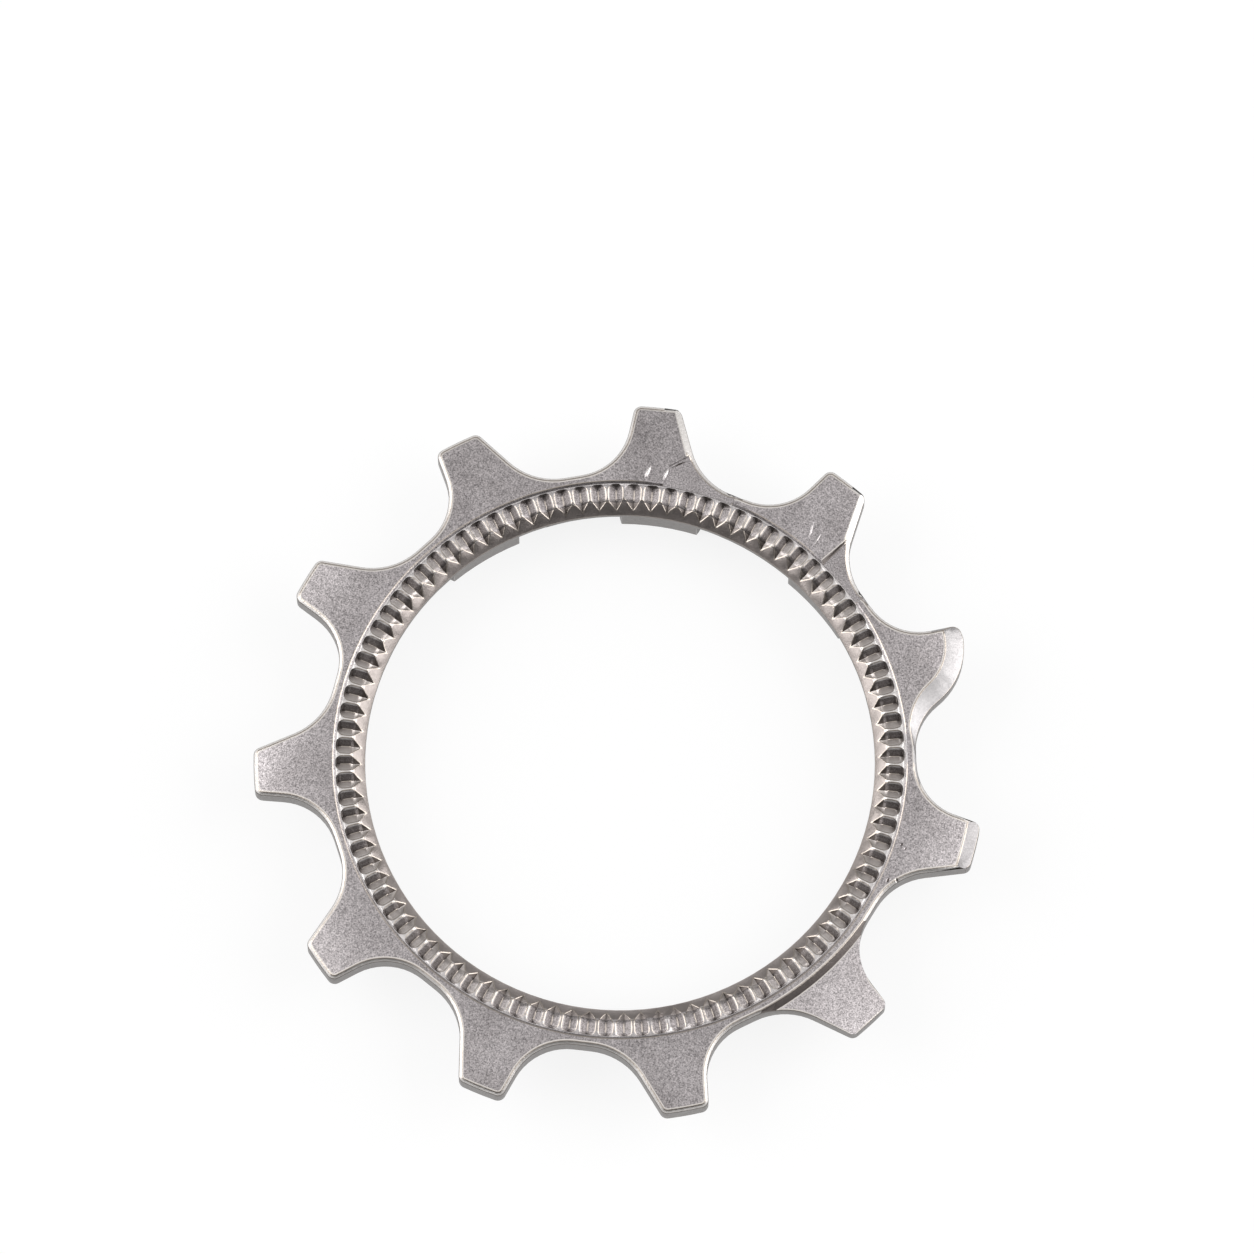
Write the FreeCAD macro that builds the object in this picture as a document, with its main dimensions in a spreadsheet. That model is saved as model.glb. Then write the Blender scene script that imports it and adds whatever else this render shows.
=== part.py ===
import FreeCAD, Part
import math
import os
import Sketcher

# Smallest cog of a bicycle cassette: one forged and stamped steel piece.
# It carries eleven teeth for a 12.7 mm pitch chain, a ring of radial serrations on the front
# that grips the lockring, a splined bore for the hub body and a raised ring on the back
# that spaces it from the next cog.
# The axis is Z, the spacer ring rests on Z = 0 and the serrated front faces +Z.
# Tooth one points along +Y before the whole cog is clocked, and teeth count clockwise
# as the front is seen.

doc = FreeCAD.newDocument("cassette_cog")
sizes = doc.addObject("Spreadsheet::Sheet", "sizes")

# Sizes in millimetres, angles in degrees.
SIZE_LIST = [
    ("chain_pitch", 12.7, "distance between chain rollers"),
    ("tooth_count", 11, "teeth round the cog"),
    ("roller_diameter", 7.75, "chain roller that sits in each gap"),
    ("tooth_height", 4.42, "from the bottom of a gap to the tooth tip"),
    ("tooth_thickness", 1.8, "toothed disc, front to back"),
    ("spacer_height", 3.0, "raised ring behind the toothed disc"),
    ("clock_angle", 6.7, "clockwise turn of the finished cog"),
    ("steep_floor", 0.75, "gap floor from its middle to the steep seat arc"),
    ("steep_seat_radius", 3.67, "seat arc on the steep side of a gap"),
    ("steep_flank_angle", 67.6, "steep flank measured from the gap floor"),
    ("sloped_floor", 0.38, "gap floor from its middle to the sloped seat arc"),
    ("sloped_seat_radius", 4.15, "seat arc on the sloped side of a gap"),
    ("sloped_flank_angle", 52.0, "sloped flank measured from the gap floor"),
    ("tip_corner_radius", 0.52, "corner of a tooth tip"),
    ("edge_break", 0.18, "broken edge of the tooth outline, front and back"),
    ("hook_tooth", 3, "tooth with the swept tip"),
    ("hook_floor", 0.2, "gap floor from its middle to the hook's seat arc"),
    ("hook_sweep_radius", 4.57, "swept tip of the hook tooth"),
    ("hook_sweep_aside", 1.69, "sweep centre off the tooth's middle line"),
    ("hook_sweep_drop", 0.1, "sweep centre below the bottom of the gaps"),
    ("hook_bevel_width", 1.17, "bevel along the swept tip"),
    ("hook_bevel_shift", 1.3, "how far the bevel's foot runs ahead of the seat arc"),
    ("hook_bevel_rim", 0.33, "bevel width at the gap floor"),
    ("hook_bevel_depth", 0.38, "depth of the bevel at the outline"),
    ("hook_bevel_wrap", 15.0, "how far the bevel wraps past the tooth's middle line"),
    ("flank_bevel_width", 0.38, "bevel on the sloped flanks of the first two teeth"),
    ("flank_bevel_depth", 0.34, "depth of that bevel at the outline"),
    ("bevel_tooth", 4, "tooth with a bevelled tip"),
    ("tip_bevel_width", 0.82, "bevel of that tip"),
    ("tip_bevel_depth", 0.28, "depth of that bevel at the tip"),
    ("low_tooth", 5, "tooth whose front face is set back"),
    ("low_face_depth", 0.43, "how far that face is set back"),
    ("low_wall_land", 0.42, "rim left outside the serrations at that tooth"),
    ("low_wall_run", 0.38, "sloped wall down to the set-back face"),
    ("step_depth", 0.12, "shallow ramp step on the first two teeth"),
    ("step_angle", 6.1, "second tooth's step from its middle line"),
    ("step_high_rise", 1.69, "first tooth's step above the gap bottom where it leaves the flank"),
    ("step_high_angle", 6.2, "its angle there"),
    ("step_knee_rise", 0.69, "first tooth's step above the gap bottom at its knee"),
    ("step_knee_angle", 2.6, "its angle at the knee"),
    ("step_low_angle", 1.9, "its angle at the serrated ring"),
    ("rim_width", 0.554, "front face between the bottom of a gap and the serrated recess"),
    ("recess_break", 0.1, "broken edge of the recess"),
    ("recess_draft", 0.03, "lean of the recess wall"),
    ("recess_depth", 0.15, "ridge crests below the front face"),
    ("crest_length", 1.15, "level crest of each ridge"),
    ("cone_width", 0.76, "45 degree cone from the crests down to the lip"),
    ("lip_length", 0.35, "straight wall of the full round lip"),
    ("serration_count", 96, "radial grooves between the ridges"),
    ("serration_top", 0.78, "width of a groove at the crests"),
    ("serration_depth", 0.52, "depth of a groove"),
    ("serration_stop", 0.03, "how far a groove stops short of the recess wall"),
    ("spline_count", 9, "splines in the bore"),
    ("tab_step", 0.39, "spline tabs stand back from the lip"),
    ("spline_depth", 0.65, "spline grooves beyond the tabs"),
    ("spline_width", 6.6, "width of a spline groove"),
    ("key_width", 5.0, "width of the one narrow groove"),
    ("key_place", 4, "groove that is the narrow one"),
    ("spline_turn", 22.05, "first groove clockwise from tooth one"),
    ("lead_in", 0.3, "chamfer at the back of the bore"),
    ("spacer_wall", 0.54, "spacer ring outside the spline grooves"),
    ("spacer_chamfer", 0.25, "outer back edge of the spacer ring"),
]
for row, (alias, number, meaning) in enumerate(SIZE_LIST, start=1):
    sizes.set(f"A{row}", meaning)
    sizes.set(f"B{row}", str(number))
    sizes.setAlias(f"B{row}", alias)
doc.recompute()

# Heights and radii that follow from the sizes, as text for the expressions.
HEIGHT = "(sizes.spacer_height + sizes.tooth_thickness)"
PITCH_TURN = "(360 / sizes.tooth_count)"
ROOT = "(sizes.chain_pitch / (2 * sin(180 / sizes.tooth_count)) - sizes.roller_diameter / 2)"
TIP = f"({ROOT} + sizes.tooth_height)"
RECESS = f"({ROOT} - sizes.rim_width)"
CREST_OUT = f"({RECESS} - sizes.recess_break - sizes.recess_draft)"
CREST_IN = f"({CREST_OUT} - sizes.crest_length)"
LIP = f"({CREST_IN} - sizes.cone_width)"
TAB = f"({LIP} + sizes.tab_step)"
GROOVE = f"({TAB} + sizes.spline_depth)"
SPACER = f"({GROOVE} + sizes.spacer_wall)"

# The same heights and radii as numbers, to place the first sketch of each shape.
height = sizes.spacer_height + sizes.tooth_thickness
half_turn = 180.0 / sizes.tooth_count
root = sizes.chain_pitch / (2.0 * math.sin(math.radians(half_turn))) - sizes.roller_diameter / 2.0
tip = root + sizes.tooth_height
recess = root - sizes.rim_width
crest_out = recess - sizes.recess_break - sizes.recess_draft
crest_in = crest_out - sizes.crest_length
lip = crest_in - sizes.cone_width
tab = lip + sizes.tab_step
groove = tab + sizes.spline_depth
spacer = groove + sizes.spacer_wall
crest_level = height - sizes.recess_depth
lip_top = crest_level - sizes.cone_width
lip_bottom = lip_top - sizes.lip_length

CLEAR = 2.0
ORIGIN = -1
START = 1
END = 2
CENTRE = 3

body = doc.addObject("PartDesign::Body", "cassette_cog")
body.Label = "cassette_cog"


def origin_part(role):
    """One plane or axis of the cog's own origin."""
    return next(item for item in body.Origin.OriginFeatures if item.Role == role)


def new_sketch(name, role, turn_axis=None):
    """A sketch of the cog on one of its origin planes, free to be turned about one of its axes."""
    sketch = body.newObject("Sketcher::SketchObject", name)
    sketch.AttachmentSupport = [(origin_part(role), "")]
    sketch.MapMode = "FlatFace"
    if turn_axis is not None:
        turn = FreeCAD.Rotation(FreeCAD.Vector(*turn_axis), 1.0)
        sketch.AttachmentOffset = FreeCAD.Placement(FreeCAD.Vector(), turn)
    return sketch


def bind(sketch, name, formula, *where):
    """Add one named size to a sketch and tie it to the sheet."""
    index = sketch.addConstraint(Sketcher.Constraint(*where))
    sketch.renameConstraint(index, name)
    sketch.setExpression(f"Constraints.{name}", formula)


def place_point(sketch, name, line, end, x, x_formula, y, y_formula):
    """Tie a point's distance from the sketch axes to the sheet."""
    if x_formula is not None:
        bind(sketch, name + "_x", x_formula, "DistanceX", ORIGIN, START, line, end, x)
    if y_formula is not None:
        bind(sketch, name + "_y", y_formula, "DistanceY", ORIGIN, START, line, end, y)


def polygon(sketch, corners):
    """Draw a closed outline; each corner is (name, x, x formula, y, y formula)."""
    count = len(corners)
    points = [FreeCAD.Vector(corner[1], corner[3], 0) for corner in corners]
    for index in range(count):
        sketch.addGeometry(Part.LineSegment(points[index], points[(index + 1) % count]), False)
    for index in range(count):
        sketch.addConstraint(Sketcher.Constraint("Coincident", index, END, (index + 1) % count, START))
    for index, (name, x, x_formula, y, y_formula) in enumerate(corners):
        place_point(sketch, name, index, START, x, x_formula, y, y_formula)


def finish(feature, before, adds=False):
    """Recompute, then make sure that the feature really changed the cog."""
    body.Tip = feature
    doc.recompute()
    grown = feature.Shape.Volume - before
    if adds != (grown > 0) or abs(grown) < 1e-4:
        raise RuntimeError(f"{feature.Name} changed the volume by {grown}")
    return feature


def turned_by(sketch, steps):
    """Turn a sketch clockwise by a number of tooth pitches."""
    sketch.setExpression("AttachmentOffset.Rotation.Angle", f"-{PITCH_TURN} * ({steps})")


# Blank: the half section, turned about the axis.
section = new_sketch("blank_section", "XZ_Plane")
tab_back = ("tab_back", tab, TAB, sizes.lead_in, "sizes.lead_in")
lead_corner = ("lead_corner", tab + sizes.lead_in, f"{TAB} + sizes.lead_in", 0.0, "0")
spacer_back = ("spacer_back", spacer - sizes.spacer_chamfer, f"{SPACER} - sizes.spacer_chamfer", 0.0, "0")
spacer_edge = ("spacer_edge", spacer, SPACER, sizes.spacer_chamfer, "sizes.spacer_chamfer")
spacer_root = ("spacer_root", spacer, SPACER, sizes.spacer_height, "sizes.spacer_height")
back_tip = ("back_tip", tip, TIP, sizes.spacer_height, "sizes.spacer_height")
front_tip = ("front_tip", tip, TIP, height, HEIGHT)
recess_edge = ("recess_edge", recess, RECESS, height, HEIGHT)
break_foot = ("break_foot", recess - sizes.recess_break, f"{RECESS} - sizes.recess_break",
              height - sizes.recess_break, f"{HEIGHT} - sizes.recess_break")
CREST_LEVEL = f"{HEIGHT} - sizes.recess_depth"
crest_edge = ("crest_edge", crest_out, CREST_OUT, crest_level, CREST_LEVEL)
cone_top = ("cone_top", crest_in, CREST_IN, crest_level, CREST_LEVEL)
lip_front = ("lip_front", lip, LIP, lip_top, f"{CREST_LEVEL} - sizes.cone_width")
LIP_BOTTOM = f"({CREST_LEVEL} - sizes.cone_width - sizes.lip_length)"
lip_back = ("lip_back", lip, LIP, lip_bottom, LIP_BOTTOM)
tab_front = ("tab_front", tab, TAB, lip_bottom, LIP_BOTTOM)
polygon(section, [
    tab_back, lead_corner, spacer_back, spacer_edge, spacer_root, back_tip, front_tip,
    recess_edge, break_foot, crest_edge, cone_top, lip_front, lip_back, tab_front,
])
blank = body.newObject("PartDesign::Revolution", "blank")
blank.Profile = section
blank.ReferenceAxis = (section, ["V_Axis"])
blank.Angle = 360
finish(blank, 0.0, adds=True)


def gap_sketch(name):
    """A sketch on the front face, turned so that the middle of a gap points along its +Y."""
    sketch = new_sketch(name, "XY_Plane", (0, 0, 1))
    sketch.setExpression("AttachmentOffset.Base.z", HEIGHT)
    return sketch


def arc_about(x, y, radius, from_angle, to_angle):
    """A counter-clockwise arc, angles in degrees."""
    circle = Part.Circle(FreeCAD.Vector(x, y, 0), FreeCAD.Vector(0, 0, 1), radius)
    return Part.ArcOfCircle(circle, math.radians(from_angle), math.radians(to_angle))


def flank_top(x, y, flank_angle, top):
    """Where a flank that starts at (x, y) reaches a height."""
    return FreeCAD.Vector(x + (top - y) / math.tan(math.radians(flank_angle)), top, 0)


def steep_side(sketch, top):
    """Draw the steep half of a gap: seat arc, then flank. Returns the two line numbers."""
    radius = sizes.steep_seat_radius
    angle = sizes.steep_flank_angle
    arc = sketch.addGeometry(arc_about(sizes.steep_floor, root + radius, radius, 270, 270 + angle), False)
    foot = sketch.Geometry[arc].EndPoint
    flank = sketch.addGeometry(Part.LineSegment(foot, flank_top(foot.x, foot.y, angle, top)), False)
    sketch.addConstraint(Sketcher.Constraint("Tangent", arc, END, flank, START))
    bind(sketch, "steep_seat", "sizes.steep_seat_radius", "Radius", arc, radius)
    bind(sketch, "steep_flank", "sizes.steep_flank_angle", "Angle", flank, math.radians(angle))
    return arc, flank


def gap_floor(sketch, left_x, left_formula):
    """Draw the straight floor of a gap, from its left end to the steep seat arc."""
    left = FreeCAD.Vector(left_x, root, 0)
    floor = sketch.addGeometry(Part.LineSegment(left, FreeCAD.Vector(sizes.steep_floor, root, 0)), False)
    sketch.addConstraint(Sketcher.Constraint("Horizontal", floor))
    place_point(sketch, "floor_left", floor, START, left_x, left_formula, root, ROOT)
    place_point(sketch, "floor_right", floor, END, sizes.steep_floor, "sizes.steep_floor", root, None)
    return floor


def sloped_side(sketch, inset, inset_formula, top):
    """Draw the sloped half of a gap, moved into the tooth by an inset. Returns the two line numbers."""
    radius = sizes.sloped_seat_radius + inset
    angle = sizes.sloped_flank_angle
    middle = root + sizes.sloped_seat_radius
    arc = sketch.addGeometry(arc_about(-sizes.sloped_floor, middle, radius, 270 - angle, 270), False)
    foot = sketch.Geometry[arc].StartPoint
    flank = sketch.addGeometry(Part.LineSegment(foot, flank_top(foot.x, foot.y, 180 - angle, top)), False)
    sketch.addConstraint(Sketcher.Constraint("Tangent", arc, START, flank, START))
    bind(sketch, "sloped_seat", f"sizes.sloped_seat_radius + {inset_formula}", "Radius", arc, radius)
    flank_turn = math.radians(180 - angle)
    bind(sketch, "sloped_flank", "180 - sizes.sloped_flank_angle", "Angle", flank, flank_turn)
    return arc, flank


def join(sketch, first, first_end, second, second_end, smooth=False):
    """Join two ends, in line with each other where the outline runs on smoothly."""
    kind = "Tangent" if smooth else "Coincident"
    sketch.addConstraint(Sketcher.Constraint(kind, first, first_end, second, second_end))


def close_top(sketch, left_line, right_line, top):
    """Close a gap outline with a level line beyond the tooth tips."""
    left = sketch.Geometry[left_line].EndPoint
    lid = sketch.addGeometry(Part.LineSegment(left, sketch.Geometry[right_line].EndPoint), False)
    join(sketch, left_line, END, lid, START)
    join(sketch, right_line, END, lid, END)
    sketch.addConstraint(Sketcher.Constraint("Horizontal", lid))
    place_point(sketch, "lid", lid, START, left.x, None, top, TOP)


def cut_through(name, sketch):
    """Cut a sketch through the toothed disc."""
    before = body.Tip.Shape.Volume
    pocket = body.newObject("PartDesign::Pocket", name)
    pocket.Profile = sketch
    pocket.Type = "ThroughAll"
    return finish(pocket, before)


def cut_to_depth(name, sketch, depth_formula, upwards=False):
    """Cut a sketch to a depth, down from the front or up from the back."""
    before = body.Tip.Shape.Volume
    pocket = body.newObject("PartDesign::Pocket", name)
    pocket.Profile = sketch
    pocket.Type = "Length"
    pocket.Reversed = upwards
    pocket.setExpression("Length", depth_formula)
    return finish(pocket, before)


def repeat(name, feature, count_formula, angle_formula):
    """Repeat a cut clockwise round the axis."""
    before = feature.Shape.Volume
    pattern = body.newObject("PartDesign::PolarPattern", name)
    pattern.Originals = [feature]
    pattern.Axis = (origin_part("Z_Axis"), [""])
    pattern.Reversed = True
    pattern.setExpression("Occurrences", count_formula)
    pattern.setExpression("Angle", angle_formula)
    return finish(pattern, before)


def cut_round(name, sketch, angle_formula):
    """Cut a section sketch round the axis, half the angle to each side."""
    before = body.Tip.Shape.Volume
    groove_cut = body.newObject("PartDesign::Groove", name)
    groove_cut.Profile = sketch
    groove_cut.ReferenceAxis = (sketch, ["V_Axis"])
    groove_cut.Midplane = True
    groove_cut.setExpression("Angle", angle_formula)
    return finish(groove_cut, before)


# Plain gaps: a roller seat with one steep and one sloped flank, at every place but the hook's.
top = tip + CLEAR
TOP = f"{TIP} + {CLEAR}"
plain = gap_sketch("gap_outline")
turned_by(plain, "sizes.hook_tooth + 0.5")
plain_floor = gap_floor(plain, -sizes.sloped_floor, "-sizes.sloped_floor")
plain_steep, plain_steep_flank = steep_side(plain, top)
plain_sloped, plain_sloped_flank = sloped_side(plain, 0.0, "0", top)
join(plain, plain_floor, END, plain_steep, START, smooth=True)
join(plain, plain_floor, START, plain_sloped, END, smooth=True)
close_top(plain, plain_sloped_flank, plain_steep_flank, top)
one_gap = cut_through("tooth_gap", plain)
repeat("tooth_gaps", one_gap, "sizes.tooth_count - 1", f"{PITCH_TURN} * (sizes.tooth_count - 2)")

# Hook gap: the tooth before it has its tip swept away in one arc that runs on into the seat arc.
LEAN = "(180 / sizes.tooth_count)"
lean = math.radians(half_turn)
sweep_drop = root - sizes.hook_sweep_drop
sweep_x = -sizes.hook_sweep_aside * math.cos(lean) - sweep_drop * math.sin(lean)
sweep_y = -sizes.hook_sweep_aside * math.sin(lean) + sweep_drop * math.cos(lean)
SWEEP_DROP = f"({ROOT} - sizes.hook_sweep_drop)"
SWEEP_X = f"-sizes.hook_sweep_aside * cos({LEAN}) - {SWEEP_DROP} * sin({LEAN})"
SWEEP_Y = f"-sizes.hook_sweep_aside * sin({LEAN}) + {SWEEP_DROP} * cos({LEAN})"


def hook_side(sketch, seat_x, seat_y, sweep_radius, sweep_formula, wrap, wrap_formula, top):
    """Draw the swept side of the hook gap. Returns its seat arc and the line that leaves the tip."""
    aside = seat_x - sweep_x
    rise = seat_y - sweep_y
    seat_radius = (aside ** 2 + rise ** 2 - sweep_radius ** 2) / (2.0 * (sweep_radius - rise))
    meet = math.degrees(math.atan2(rise + seat_radius, aside))
    leave = 90.0 + half_turn + wrap
    seat = sketch.addGeometry(arc_about(seat_x, seat_y + seat_radius, seat_radius, 180 + meet, 270), False)
    sweep = sketch.addGeometry(arc_about(sweep_x, sweep_y, sweep_radius, meet, leave), False)
    start = sketch.Geometry[sweep].EndPoint
    way_out = sketch.addGeometry(Part.LineSegment(start, flank_top(start.x, start.y, leave, top)), False)
    join(sketch, seat, START, sweep, START, smooth=True)
    join(sketch, sweep, END, way_out, START)
    sketch.addConstraint(Sketcher.Constraint("PointOnObject", sweep, CENTRE, way_out))
    bind(sketch, "sweep_radius", sweep_formula, "Radius", sweep, sweep_radius)
    place_point(sketch, "sweep", sweep, CENTRE, sweep_x, SWEEP_X, sweep_y, SWEEP_Y)
    bind(sketch, "way_out", f"90 + {LEAN} + {wrap_formula}", "Angle", way_out, math.radians(leave))
    return seat, way_out


hook = gap_sketch("hook_outline")
turned_by(hook, "sizes.hook_tooth - 0.5")
hook_floor = gap_floor(hook, -sizes.hook_floor, "-sizes.hook_floor")
hook_steep, hook_steep_flank = steep_side(hook, top)
hook_seat, hook_way_out = hook_side(
    hook, -sizes.hook_floor, root, sizes.hook_sweep_radius, "sizes.hook_sweep_radius", 0.0, "0", top)
join(hook, hook_floor, END, hook_steep, START, smooth=True)
join(hook, hook_floor, START, hook_seat, END, smooth=True)
close_top(hook, hook_way_out, hook_steep_flank, top)
cut_through("hook_gap", hook)


def radius_at(point):
    """Distance of a point from the cog's axis."""
    return math.hypot(point.x, point.y)


def dress_edges(name, kind, size_name, size_formula, wanted):
    """Round or bevel every edge that the given test picks out."""
    base = body.Tip
    edges = enumerate(base.Shape.Edges, start=1)
    names = [f"Edge{index}" for index, edge in edges if wanted(edge)]
    dressing = body.newObject(kind, name)
    dressing.Base = (base, names)
    dressing.setExpression(size_name, size_formula)
    return finish(dressing, base.Shape.Volume)


NEAR = 0.02


def is_tip_corner(edge):
    """True for the upright edges at the corners of the tooth tips."""
    ends = [vertex.Point for vertex in edge.Vertexes]
    if len(ends) < 2 or abs(ends[0].z - ends[1].z) < NEAR:
        return False
    return min(radius_at(point) for point in ends) > tip - NEAR


def is_outline(edge):
    """True for the edges of the tooth outline on the front and the back of the disc."""
    ends = [vertex.Point for vertex in edge.Vertexes]
    level = ends[0].z
    flat = all(abs(point.z - level) < NEAR for point in ends)
    on_face = min(abs(level - height), abs(level - sizes.spacer_height)) < NEAR
    return flat and on_face and min(radius_at(point) for point in ends) > root - NEAR


dress_edges("tip_corners", "PartDesign::Fillet", "Radius", "sizes.tip_corner_radius", is_tip_corner)
dress_edges("outline_breaks", "PartDesign::Chamfer", "Size", "sizes.edge_break", is_outline)


def section_sketch(name, steps, extra="0"):
    """A half-section sketch through a tooth's middle line, or off it by an extra clockwise angle."""
    sketch = new_sketch(name, "XZ_Plane", (0, 1, 0))
    turn = f"90 - {PITCH_TURN} * ({steps}) - ({extra})"
    sketch.setExpression("AttachmentOffset.Rotation.Angle", turn)
    return sketch


# Set-back tooth: its front face lies lower, behind a sloped wall that runs just outside the serrations.
far = tip + CLEAR
FAR = f"{TIP} + {CLEAR}"
low_level = height - sizes.low_face_depth
LOW_LEVEL = f"{HEIGHT} - sizes.low_face_depth"
slope_top = recess + sizes.low_wall_land
SLOPE_TOP = f"{RECESS} + sizes.low_wall_land"
slope_foot = slope_top + sizes.low_wall_run
SLOPE_FOOT = f"{SLOPE_TOP} + sizes.low_wall_run"
low_section = section_sketch("low_face_section", "sizes.low_tooth - 1")
polygon(low_section, [
    ("slope_top", slope_top, SLOPE_TOP, height, HEIGHT),
    ("slope_foot", slope_foot, SLOPE_FOOT, low_level, LOW_LEVEL),
    ("low_end", far, FAR, low_level, LOW_LEVEL),
    ("high_end", far, FAR, height, HEIGHT),
])
cut_round("low_face", low_section, PITCH_TURN)

# Bevelled tooth: the tip slopes down to the outline.
bevel_start = tip - sizes.tip_bevel_width
BEVEL_START = f"{TIP} - sizes.tip_bevel_width"
BEVEL_FALL = f"sizes.tip_bevel_depth * (sizes.tip_bevel_width + {CLEAR}) / sizes.tip_bevel_width"
bevel_low = height - sizes.tip_bevel_depth * (sizes.tip_bevel_width + CLEAR) / sizes.tip_bevel_width
tip_section = section_sketch("tip_bevel_section", "sizes.bevel_tooth - 1")
polygon(tip_section, [
    ("bevel_start", bevel_start, BEVEL_START, height, HEIGHT),
    ("bevel_low", far, FAR, bevel_low, f"{HEIGHT} - {BEVEL_FALL}"),
    ("bevel_high", far, FAR, height, HEIGHT),
])
cut_round("tip_bevel", tip_section, PITCH_TURN)


def bevel_sketch(name, steps, depth_formula):
    """A gap sketch below the front face by a depth."""
    sketch = gap_sketch(name)
    turned_by(sketch, steps)
    sketch.setExpression("AttachmentOffset.Base.z", f"{HEIGHT} - ({depth_formula})")
    return sketch


def bevel_floor(sketch, left_x, left_formula, inset, inset_formula):
    """Draw a bevel's edge along the gap floor; it runs out at the foot of the steep side."""
    left = FreeCAD.Vector(left_x, root - inset, 0)
    right = FreeCAD.Vector(sizes.steep_floor, root, 0)
    line = sketch.addGeometry(Part.LineSegment(left, right), False)
    inset_level = f"{ROOT} - {inset_formula}"
    place_point(sketch, "floor_left", line, START, left_x, left_formula, root - inset, inset_level)
    place_point(sketch, "floor_right", line, END, sizes.steep_floor, "sizes.steep_floor", root, ROOT)
    upright = sketch.addGeometry(Part.LineSegment(right, FreeCAD.Vector(sizes.steep_floor, top, 0)), False)
    join(sketch, line, END, upright, START)
    sketch.addConstraint(Sketcher.Constraint("Vertical", upright))
    return line, upright


def cut_between(name, upper, lower):
    """Cut away the ruled body between two sketches."""
    before = body.Tip.Shape.Volume
    loft = body.newObject("PartDesign::SubtractiveLoft", name)
    loft.Profile = upper
    loft.Sections = [lower]
    loft.Ruled = True
    return finish(loft, before)


def hook_bevel_outline(
        name, depth_formula, seat_x, seat_formula, inset, inset_formula, width, width_formula):
    """One edge of the hook tooth's bevel: the swept outline, moved into the tooth."""
    sketch = bevel_sketch(name, "sizes.hook_tooth - 0.5", depth_formula)
    line, upright = bevel_floor(sketch, seat_x, seat_formula, inset, inset_formula)
    radius = sizes.hook_sweep_radius - width
    radius_formula = f"sizes.hook_sweep_radius - {width_formula}"
    wrap = sizes.hook_bevel_wrap
    seat, way_out = hook_side(
        sketch, seat_x, root - inset, radius, radius_formula, wrap, "sizes.hook_bevel_wrap", top)
    join(sketch, line, START, seat, END)
    bind(sketch, "seat_upright", seat_formula, "DistanceX", ORIGIN, START, seat, CENTRE, seat_x)
    close_top(sketch, way_out, upright, top)
    return sketch


# Hook tooth: a broad bevel follows the swept tip and runs down into the gap.
upper = hook_bevel_outline(
    "hook_bevel_upper", "0", -sizes.hook_floor - sizes.hook_bevel_shift,
    "-sizes.hook_floor - sizes.hook_bevel_shift", sizes.hook_bevel_rim, "sizes.hook_bevel_rim",
    sizes.hook_bevel_width, "sizes.hook_bevel_width")
lower = hook_bevel_outline(
    "hook_bevel_lower", "sizes.hook_bevel_depth", -sizes.hook_floor, "-sizes.hook_floor",
    0.0, "0", 0.0, "0")
cut_between("hook_bevel", upper, lower)


def flank_bevel_outline(name, depth_formula, inset, inset_formula):
    """One edge of the bevel along a sloped flank."""
    sketch = bevel_sketch(name, "0.5", depth_formula)
    line, upright = bevel_floor(sketch, -sizes.sloped_floor, "-sizes.sloped_floor", inset, inset_formula)
    arc, flank = sloped_side(sketch, inset, inset_formula, top)
    join(sketch, line, START, arc, END)
    bind(sketch, "seat_upright", "-sizes.sloped_floor", "DistanceX", ORIGIN, START, arc, CENTRE,
         -sizes.sloped_floor)
    close_top(sketch, flank, upright, top)
    return sketch


# First two teeth: a narrow bevel along the sloped flank.
flank_upper = flank_bevel_outline(
    "flank_bevel_upper", "0", sizes.flank_bevel_width, "sizes.flank_bevel_width")
flank_lower = flank_bevel_outline("flank_bevel_lower", "sizes.flank_bevel_depth", 0.0, "0")
flank_bevel = cut_between("flank_bevel", flank_upper, flank_lower)
repeat("flank_bevels", flank_bevel, "2", PITCH_TURN)


def polar_corner(name, radius, radius_formula, angle, angle_formula):
    """A polygon corner at a radius and a clockwise angle from the sketch's +Y."""
    x = radius * math.sin(math.radians(angle))
    y = radius * math.cos(math.radians(angle))
    x_formula = f"({radius_formula}) * sin({angle_formula})"
    y_formula = f"({radius_formula}) * cos({angle_formula})"
    return (name, x, x_formula, y, y_formula)


# Ramp steps: the root of the first two teeth lies a little lower on the sloped side.
first_step = gap_sketch("first_step_outline")
turned_by(first_step, "0")
polygon(first_step, [
    polar_corner("ring", crest_out, CREST_OUT, sizes.step_low_angle, "sizes.step_low_angle"),
    polar_corner("knee", root + sizes.step_knee_rise, f"{ROOT} + sizes.step_knee_rise",
                 sizes.step_knee_angle, "sizes.step_knee_angle"),
    polar_corner("high", root + sizes.step_high_rise, f"{ROOT} + sizes.step_high_rise",
                 sizes.step_high_angle, "sizes.step_high_angle"),
    polar_corner("far", far, FAR, half_turn, LEAN),
    polar_corner("floor", crest_out, CREST_OUT, half_turn, LEAN),
])
cut_to_depth("first_step", first_step, "sizes.step_depth")
second_section = section_sketch("second_step_section", "1", f"(sizes.step_angle + {LEAN}) / 2")
step_level = height - sizes.step_depth
polygon(second_section, [
    ("step_in_low", crest_out, CREST_OUT, step_level, f"{HEIGHT} - sizes.step_depth"),
    ("step_out_low", far, FAR, step_level, f"{HEIGHT} - sizes.step_depth"),
    ("step_out_high", far, FAR, height, HEIGHT),
    ("step_in_high", crest_out, CREST_OUT, height, HEIGHT),
])
cut_round("second_step", second_section, f"{LEAN} - sizes.step_angle")

# Splined bore: grooves from the back up to the lip, one of them narrow so that the cog fits one way only.
SPLINE_TURN = "(360 / sizes.spline_count)"


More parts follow.
